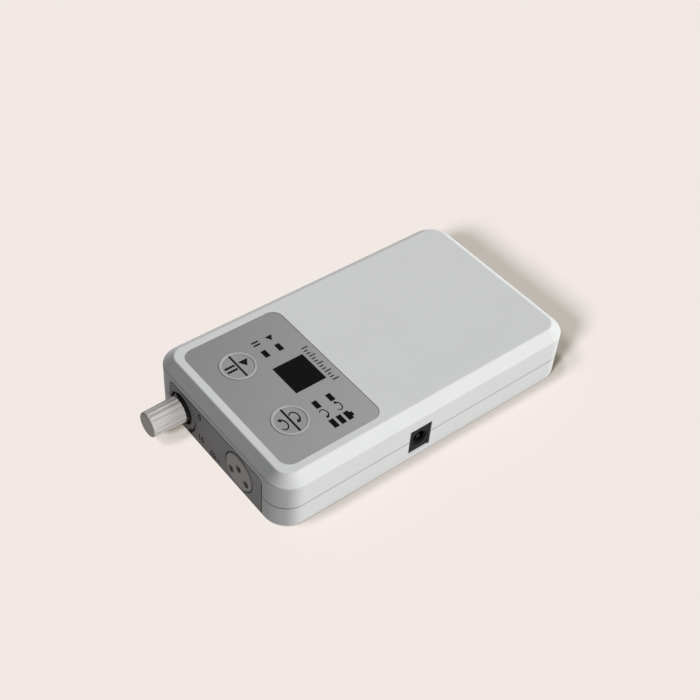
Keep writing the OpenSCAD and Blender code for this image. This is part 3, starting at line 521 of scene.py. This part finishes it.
# %% Shrink sleeves over steel
def cell_sleeve():
    finish = Finish("cell_sleeve", tone(44, 104, 168), Specular_IOR_Level=0.5)
    centre = middle("left_cell").y
    half = high("left_cell").y - centre
    bare = abs(finish.along("Y", centre)).rises(half - 1.0, half - 0.9)
    wrinkle = finish.noise(1.2, stretch=(0.3, 1, 0.3))
    clean = finish.mottle(share=0.06, size=4)
    finish.put("Base Color", finish.mixed(bare, clean, tone(190, 188, 182)))
    finish.put("Metallic", bare)
    finish.put("Roughness", 0.28 + 0.15 * wrinkle)
    finish.put("Normal", finish.relief(0.02 * wrinkle * (1 - bare)))
    return finish


def capacitor_sleeve():
    finish = Finish("capacitor_sleeve", tone(28, 38, 74), Specular_IOR_Level=0.5)
    stripe = finish.along("Y", middle("filter_capacitor").y - 2.6).within(reach=0.9, edge=0.1)
    finish.put("Base Color", finish.mixed(stripe, finish.colour, tone(186, 190, 196)))
    finish.put("Roughness", 0.3 + 0.1 * finish.noise(2))
    finish.put("Normal", finish.relief(0.006 * finish.noise(0.6)))
    return finish


dress(cell_sleeve(), "left_cell", "right_cell")
dress(capacitor_sleeve(), "filter_capacitor")

# %% [markdown]
# ## The foam pads: closed cells
#
# Foam is all pores. The same noise that digs them also paints their bottoms darker, a painted
# shade, and makes their walls rougher, so the painted shade and the relief tell one story.

# %% Foam
def closed_foam():
    finish = Finish("closed_foam", tone(44, 44, 45), Specular_IOR_Level=0.2)
    pores = finish.noise(0.5, detail=3)
    # Painted shade: the bottoms of the pores are darker.
    painted_pore_shade = pores.rises(0.3, 0.6)
    finish.put("Base Color", finish.mixed(painted_pore_shade, tone(28, 28, 29), tone(58, 58, 59)))
    finish.put("Roughness", 0.85 + 0.1 * pores)
    finish.put("Normal", finish.relief(0.12 * pores))
    return finish


dress(closed_foam(), "foam_pads")

# %% [markdown]
# ## The leads: coloured silicone
#
# The leads of one set are one node, so one finish has to give each lead its colour. They lie side
# by side, and the share of the way through their box along X tells them apart.

# %% Leads
def silicone_leads(name, node, *colours):
    finish = Finish(name, colours[0], Specular_IOR_Level=0.4)
    share, colour = finish.through(node, X=1), finish.colour
    for place, after in enumerate(colours[1:], 1):
        step = place / len(colours)
        colour = finish.mixed(share.rises(step - 0.01, step + 0.01), colour, after)
    finish.put("Base Color", colour)
    finish.put("Roughness", 0.45 + 0.1 * finish.noise(1))
    finish.put("Normal", finish.relief(0.004 * finish.noise(0.4)))
    return finish


red, black, white = tone(150, 24, 22), tone(26, 26, 27), tone(214, 212, 206)
dress(silicone_leads("socket_lead_silicone", "socket_leads", red, white, black), "socket_leads")
dress(silicone_leads("battery_lead_silicone", "battery_leads", red, black), "battery_leads")

# %% [markdown]
# ## The knob: light grey ABS, handled all day
#
# The knob comes from the same resin as the shells, but it is polished by fingers, so it is a
# little warmer and smoother. Nearer the axis than the ribs, in the bottoms of the grooves and on
# the knob's end, its colour is darker. The distance from the knob's axis tells groove from rib.

# %% Knob plastic
def knob_plastic():
    finish = Finish("knob_plastic", tone(209, 205, 201), Specular_IOR_Level=0.3)
    radius = high("speed_knob").x - knob_axis.x
    reach = from_line(finish.along("X", knob_axis.x), finish.along("Z", knob_axis.z))
    # Darker nearer the axis than the ribs, in the grooves and on the end of the knob.
    groove = 1 - reach.rises(radius - 0.75, radius - 0.35)
    finish.put("Base Color", finish.mixed(groove, finish.colour, tone(190, 185, 180)))
    finish.put("Roughness", 0.42 + 0.1 * finish.noise(4))
    finish.put("Normal", finish.relief(0.002 * finish.noise(0.25)))
    return finish


dress(knob_plastic(), "speed_knob")
print("nodes left plain:", sorted(set(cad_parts) - dressed))

# %% [markdown]
# ## Black ink
#
# Screen ink dries to a satin black with a slight orange peel. Where fingers press, it wears a
# little thin, and the grey under it starts to show.

# %% Ink
INK = 0.03
ink = Finish("black_ink", tone(8, 8, 8), Specular_IOR_Level=0.06)
ink.put("Base Color", ink.mixed(ink.noise(1.1).rises(0.55, 0.8), tone(7, 7, 7), tone(20, 20, 20)))
ink.put("Roughness", 0.5 + 0.1 * ink.noise(0.6))
ink.put("Normal", ink.relief(0.001 * ink.noise(0.2)))
print("the ink is", INK, "mm thick")

# %% [markdown]
# ## The shapes of a sign
#
# The signs on the keys, the film and the panel are screen printed, so each is drawn flat around
# the origin first. Four shapes are enough: a bar from a grid, a disc and an arrowhead from a
# circle, and an arc that is spun from a short edge and then widened towards its end.

# %% Bars, discs, arrowheads and arcs
TRIANGLE = 1.5, 1.732  # the length and the width of a triangle in a circle of radius 1
ROUND = 24


def moved(x, y, turn=0.0, size=(1, 1)):
    """The matrix that scales a flat shape, turns it by degrees and puts it at x and y."""
    scaling = Matrix.Diagonal((size[0], size[1], 1, 1))
    return Matrix.Translation((x, y, 0)) @ Matrix.Rotation(math.radians(turn), 4, "Z") @ scaling


def bar(sign, x, y, wide, tall):
    bmesh.ops.create_grid(sign, x_segments=1, y_segments=1, size=0.5,
                          matrix=moved(x, y, size=(wide, tall)))


def disc(sign, x, y, radius):
    bmesh.ops.create_circle(sign, cap_ends=True, segments=ROUND, radius=radius,
                            matrix=moved(x, y))


def arrowhead(sign, x, y, long, wide, turn=0.0):
    """A triangle that points along +X before its turn. A circle of three corners is one."""
    size = long / TRIANGLE[0], wide / TRIANGLE[1]
    bmesh.ops.create_circle(sign, cap_ends=True, segments=3, radius=1,
                            matrix=moved(x, y, turn) @ moved(0, 0, size=size) @ moved(0, 0, -90))


def arc(sign, radius, start, turn, tail, head):
    """A stroke along an arc, as wide as tail at its start and as head at its end."""
    spoke = [sign.verts.new((radius + side, 0, 0)) for side in (-0.5, 0.5)]
    edge = sign.edges.new(spoke)
    bmesh.ops.rotate(sign, verts=spoke, matrix=Matrix.Rotation(math.radians(start), 3, "Z"))
    before = set(sign.verts) - set(spoke)
    bmesh.ops.spin(sign, geom=[*spoke, edge], axis=(0, 0, 1), angle=math.radians(turn),
                   steps=ROUND, use_merge=abs(turn) == 360)
    for vert in set(sign.verts) - before:
        reach = vert.co.length
        swept = math.degrees(math.atan2(vert.co.y, vert.co.x)) - start
        share = (swept % math.copysign(360, turn)) / turn
        share = 0 if share > 1.01 else share  # the start itself, when it is rounded to a full turn
        width = tail + (head - tail) * share
        vert.co *= (radius + (reach - radius) * width) / reach


# %% [markdown]
# ## From a flat sign to a printed piece
#
# Once a sign is complete it gets the thickness of the ink, in one extrusion, and is moved to its
# place in its mesh, while its object stays at the origin, so that the ink's pattern stays on it
# when it moves. The result is a real thin solid that rides with the key that it is printed on.

# %% Print a sign
def printed(name, sign, place, body):
    """Gives a flat sign its ink, puts it in its place, and lets it ride on a body."""
    faces = bmesh.ops.extrude_face_region(sign, geom=list(sign.faces))["geom"]
    raised = [part for part in faces if isinstance(part, bmesh.types.BMVert)]
    bmesh.ops.translate(sign, verts=raised, vec=(0, 0, INK))
    bmesh.ops.recalc_face_normals(sign, faces=sign.faces)
    bmesh.ops.transform(sign, verts=sign.verts, matrix=Matrix.Scale(MM, 4) @ place)
    mesh = bpy.data.meshes.new(name)
    sign.to_mesh(mesh)
    sign.free()
    mesh.materials.append(ink.material)
    piece = bpy.data.objects.new(name, mesh)
    bpy.context.scene.collection.objects.link(piece)
    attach(piece, body)
    print(name, "has", len(mesh.polygons), "faces")


# %% [markdown]
# ## The sign on the start key
#
# A line across the middle splits each key into its two jobs. The left key starts and pauses, so
# it carries a triangle behind the line and two bars in front of it.

# %% Start and pause
def dividing_line(sign):
    bar(sign, 0, 0, wide=2 * disc_edge - 0.2, tall=0.75)


sign = bmesh.new()
dividing_line(sign)
arrowhead(sign, -0.45, 2.85, long=3.0, wide=3.9)
for x in (-0.97, 0.97):
    bar(sign, x, -2.85, wide=0.9, tall=4.1)
on_play_key = Matrix.Translation((play_key.x, play_key.y, film_top))
printed("play_pause_sign", sign, on_play_key, "play_pause")

# %% [markdown]
# ## The sign on the direction key
#
# The right key reverses the turning, so it carries two curved arrows, and the second is the first
# one seen in a mirror. A curved arrow is a spun stroke that is squeezed a little, because the
# half of a key is wider than it is deep.

# %% Two curved arrows
def curved_arrow(sign, x, y, size, mirrored=False):
    """A squeezed arc from the lower left over the top to the right, where it points down."""
    arrow = bmesh.new()
    arc(arrow, 2.25, start=234, turn=-222, tail=0.42, head=0.8)
    arrowhead(arrow, 2.15, 0.1, long=1.6, wide=1.9, turn=-72)
    bmesh.ops.scale(arrow, verts=arrow.verts, vec=(size * (-1 if mirrored else 1), size * 0.7, 1))
    bmesh.ops.translate(arrow, verts=arrow.verts, vec=(x, y, 0))
    mesh = bpy.data.meshes.new("arrow")
    arrow.to_mesh(mesh)
    sign.from_mesh(mesh)
    arrow.free()
    bpy.data.meshes.remove(mesh)


sign = bmesh.new()
dividing_line(sign)
curved_arrow(sign, -0.3, 1.95, size=1.0)
curved_arrow(sign, 0.35, -3.25, size=1.0, mirrored=True)
on_direction_key = Matrix.Translation((direction_key.x, direction_key.y, film_top))
printed("direction_sign", sign, on_direction_key, "direction")

# %% [markdown]
# ## The signs on the film
#
# A small sign beside each lens says what it means when it is lit: running, paused, turning
# backwards or forwards. A row of scale strokes behind the display marks it as the speed. The
# strokes are a bar repeated along X, and every third one is longer.

# %% Lens signs and the speed scale
sign = bmesh.new()
lenses, half_lens = (low("indicator_lenses"), high("indicator_lenses")), 0.95
back_row, front_row = lenses[1].y - half_lens, lenses[0].y + half_lens
left, right = lenses[0].x - 4.2, lenses[1].x + 3.0
arrowhead(sign, left, back_row, long=2.4, wide=2.9)
for side in (-0.75, 0.75):
    bar(sign, left + side, front_row, wide=0.7, tall=2.8)
curved_arrow(sign, right, back_row - 0.3, size=0.82, mirrored=True)
curved_arrow(sign, right, front_row - 0.3, size=0.82)

step, long_stroke, short_stroke = 1.5, 2.6, 1.6
scale_x, scale_y = middle("display_window").x, high("display_window").y + 2.6
for count in range(-6, 7):
    tall = long_stroke if count % 3 == 0 else short_stroke
    bar(sign, scale_x + count * step, scale_y + tall / 2 - long_stroke / 2, wide=0.48, tall=tall)
printed("film_signs", sign, Matrix.Translation((0, 0, film_top)), "housing")

# %% [markdown]
# ## The marks round the knob
#
# Plain numbers name the ends of the knob's travel, and a stroke that grows from the low number
# towards the high one shows which way is faster. A number starts as a text curve, which Blender
# turns into a mesh. The panel's face looks along -Y, so the flat sign is tipped up by a quarter
# turn before it is moved there.

# %% Dial numbers and the growing stroke
def number(sign, text, x, y, tall):
    """A number as a mesh, added to a sign with its middle at x and y."""
    letters = bpy.data.curves.new("number_" + text, "FONT")
    letters.body, letters.size, letters.offset = text, tall / 0.7, tall * 0.03
    letters.align_x, letters.align_y = "CENTER", "CENTER"
    holder = bpy.data.objects.new("number", letters)
    mesh = bpy.data.meshes.new_from_object(holder)
    mesh.transform(Matrix.Translation((x, y, 0)))
    sign.from_mesh(mesh)
    bpy.data.objects.remove(holder)
    bpy.data.meshes.remove(mesh)


sign = bmesh.new()
number(sign, "0", 11.6, 5.6, tall=2.6)
number(sign, "10", 12.0, -4.9, tall=2.6)
dial, tip = 8.7, math.radians(-52)
arc(sign, dial, start=6, turn=-56, tail=0.3, head=1.3)
arrowhead(sign, dial * math.cos(tip), dial * math.sin(tip), long=2.4, wide=2.6, turn=-146)
tipped_up = Matrix.Rotation(math.radians(90), 4, "X")
on_panel = Matrix.Translation((knob_axis.x, low("front_panel").y, knob_axis.z)) @ tipped_up
printed("dial_signs", sign, on_panel, "housing")

# %% [markdown]
# ## The sign beside the socket
#
# A ring with three dots is a small drawing of the socket itself, and a dash leads the eye from it
# to the real one. The ring is an arc of a full turn, whose end is merged with its start.

# %% The socket sign
sign = bmesh.new()
arc(sign, 1.5, start=90, turn=360, tail=0.45, head=0.45)
for angle in (90, 210, 330):
    disc(sign, 0.65 * math.cos(math.radians(angle)), 0.65 * math.sin(math.radians(angle)), 0.34)
x = low("motor_socket").x - knob_axis.x - 4.6
y = low("motor_socket").z - knob_axis.z + 0.9
bmesh.ops.translate(sign, verts=sign.verts, vec=(x, y, 0))
bar(sign, x + 3.2, y, wide=2.0, tall=0.5)
printed("socket_sign", sign, on_panel, "housing")

# %% [markdown]
# ## The floor
#
# The floor is a wide pale sheet. The camera sees it pale, while the object sees it dark: the
# Light Path node tells the two kinds of ray apart. Without this the pale floor would light the
# front and the underside from below and wash out the soft shade there. The floor's lamps add up
# to about four and a half times the plain level, so the sheet that the camera sees reflects only
# a fifth of its colour. A faint warm light of its own fills the rest, and keeps the shadows from
# turning cold.

# %% A wide sheet of paper
PALE, WARM = tone(241, 232, 227), tone(241, 230, 142)
own_light, reflected = 0.09, (0.2, 0.2, 0.213)

bm = bmesh.new()
bmesh.ops.create_grid(bm, x_segments=1, y_segments=1, size=3.0)
mesh = bpy.data.meshes.new("floor")
bm.to_mesh(mesh)
bm.free()
floor = bpy.data.objects.new("floor", mesh)
bpy.context.scene.collection.objects.link(floor)
floor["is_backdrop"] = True

paper = Finish("floor_paper", PALE, Specular_IOR_Level=0.0, Roughness=1.0,
               Emission_Strength=own_light)
for_object = tone(72, 72, 73)
for_camera = tuple(channel * share for channel, share in zip(PALE, reflected)) + (1,)
seen = paper.seen()
paper.put("Base Color", paper.mixed(seen, for_object, for_camera))
paper.put("Emission Color", paper.mixed(seen, (0, 0, 0, 1), WARM))
mesh.materials.append(paper.material)
print("the floor is", round(floor.dimensions.x, 1), "m wide")

# %% [markdown]
# ## The sky
#
# An even, very weak sky lights what no lamp reaches. Where the camera looks past the floor it
# sees the floor's own colour instead, and so does gloss, so the room has no horizon.

# %% An even sky
world = bpy.data.worlds.new("soft_sky")
bpy.context.scene.world = world
world.use_nodes = True
world.node_tree.nodes.remove(world.node_tree.nodes["Background"])
sky = Nodes(world.node_tree)
even = sky.add("Background", (), {"Color": tone(250, 252, 255), "Strength": 0.10})
backdrop = sky.add("Background", (), {"Color": PALE, "Strength": 1.0})
both = sky.add("MixShader", (), {0: sky.seen(), 1: even, 2: backdrop})
sky.join(world.node_tree.nodes["World Output"].inputs["Surface"], both)
print("the sky is made of", len(world.node_tree.nodes), "nodes")

# %% [markdown]
# ## The lamps
#
# A main sun from behind the right side and two low ones from the right and the left light the
# object. The knob has its own set, because it stands out of the shaded front, and one of its suns
# is shaded by nothing but the knob. Four ceiling lamps reach only the floor and lay the soft
# shadows. Two of them let only some pieces shade the floor. A sun fits here better than an area
# lamp, because its light is the same all over the object. What a lamp reaches and what may shade
# it are collections, so the pieces are sorted into groups first.

# %% What a lamp may reach
def group(name, pieces):
    collection = bpy.data.collections.new(name)
    for piece in pieces:
        collection.objects.link(piece)
    return collection


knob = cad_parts["speed_knob"]
pieces = [piece for piece in bpy.context.scene.objects if piece.type == "MESH"]
the_floor = group("the_floor", [floor])
the_knob = group("the_knob", [knob])
the_case = group("the_case", [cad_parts[node] for node in ("lower_shell", "upper_shell")])
the_unit = group("the_unit", [piece for piece in pieces if piece not in (floor, knob)])

# %% [markdown]
# ## One sun after another
#
# Every lamp is a sun with a level, and at level 1 a surface that faces it renders as its own
# colour is written. The wider its spread, the softer the edge of its shadow. The levels are set
# one after another, the strongest first, until each side of the object has the shade that it
# should have.

# %% Suns
def sun(name, azimuth, height, level, spread, lit, shaded_by=None, colour=(1, 1, 1)):
    """A sun at an azimuth from +X towards +Y and a height above the floor, both in degrees."""
    lamp = bpy.data.lights.new(name, "SUN")
    lamp.energy = level * math.pi
    lamp.angle = math.radians(spread)
    lamp.color = colour
    light = bpy.data.objects.new(name, lamp)
    light.rotation_euler = (math.radians(90 - height), 0, math.radians(azimuth + 90))
    light.light_linking.receiver_collection = lit
    light.light_linking.blocker_collection = shaded_by
    bpy.context.scene.collection.objects.link(light)
    print(name, "at level", level)


evening = (1, 0.985, 0.96)
sun("window_behind", 55, 38, level=0.945, spread=14, lit=the_unit)
sun("window_right", 0, 4, level=0.40, spread=28, lit=the_unit, colour=evening)
sun("window_left", 172, 12, level=0.27, spread=28, lit=the_unit)
sun("knob_behind", 54, 38, level=0.27, spread=18, lit=the_knob)
sun("knob_near", 54, 38, level=0.49, spread=30, lit=the_knob, shaded_by=the_knob)
sun("knob_right", 0, 4, level=0.41, spread=28, lit=the_knob)
sun("ceiling_front", -72, 32, level=3.90, spread=12, lit=the_floor)
sun("ceiling_middle", -98, 54, level=1.29, spread=14, lit=the_floor)
sun("ceiling_above", -120, 74, level=0.98, spread=8, lit=the_floor, shaded_by=the_case)
sun("ceiling_knob", -97, 36, level=0.70, spread=16, lit=the_floor, shaded_by=the_knob)

# %% [markdown]
# ## The camera
#
# The camera looks down on the front right corner from about 45 degrees. Its place is worked out
# from the point that it looks at, two angles and a distance, and a small roll tilts it about its
# own axis. The three directions right, up and back are the columns of its matrix. The Standard
# view shows a colour as it is written.

# %% Aim the camera
target = Vector((-7.062, -1.683, 12.0)) * MM
distance, focal_length, film_width = 435.916, 61.57, 36
turn, lift, roll = (math.radians(angle) for angle in (48.263, 44.908, 4.79))
back = Vector((math.sin(turn) * math.cos(lift), -math.cos(turn) * math.cos(lift), math.sin(lift)))
level = Vector((0, 0, 1)).cross(back).normalized()
above = back.cross(level)
right = level * math.cos(roll) + above * math.sin(roll)
up = above * math.cos(roll) - level * math.sin(roll)

lens = bpy.data.cameras.new("camera")
lens.lens = focal_length
lens.sensor_width = film_width
lens.clip_start = 0.01
camera = bpy.data.objects.new("camera", lens)
placed = Matrix((right, up, back)).transposed().to_4x4()
placed.translation = target + back * distance * MM
camera.matrix_world = placed
bpy.context.scene.collection.objects.link(camera)
bpy.context.scene.camera = camera
bpy.context.scene.view_settings.view_transform = "Standard"
print("the camera is", round(placed.translation.z / MM), "mm above the floor")

# %% [markdown]
# ## The two boxes
#
# The two boxes tell whether the dressed object is still as large as the solids. The last line
# prints the dressed object's size.

# %% The two boxes, and the dressed size
boxes = {"cad": [list(corner) for corner in cad_box],
         "visual": [list(corner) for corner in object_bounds()]}
print("size in mm:", [round((b - a) / MM, 2) for a, b in zip(*boxes["visual"])])
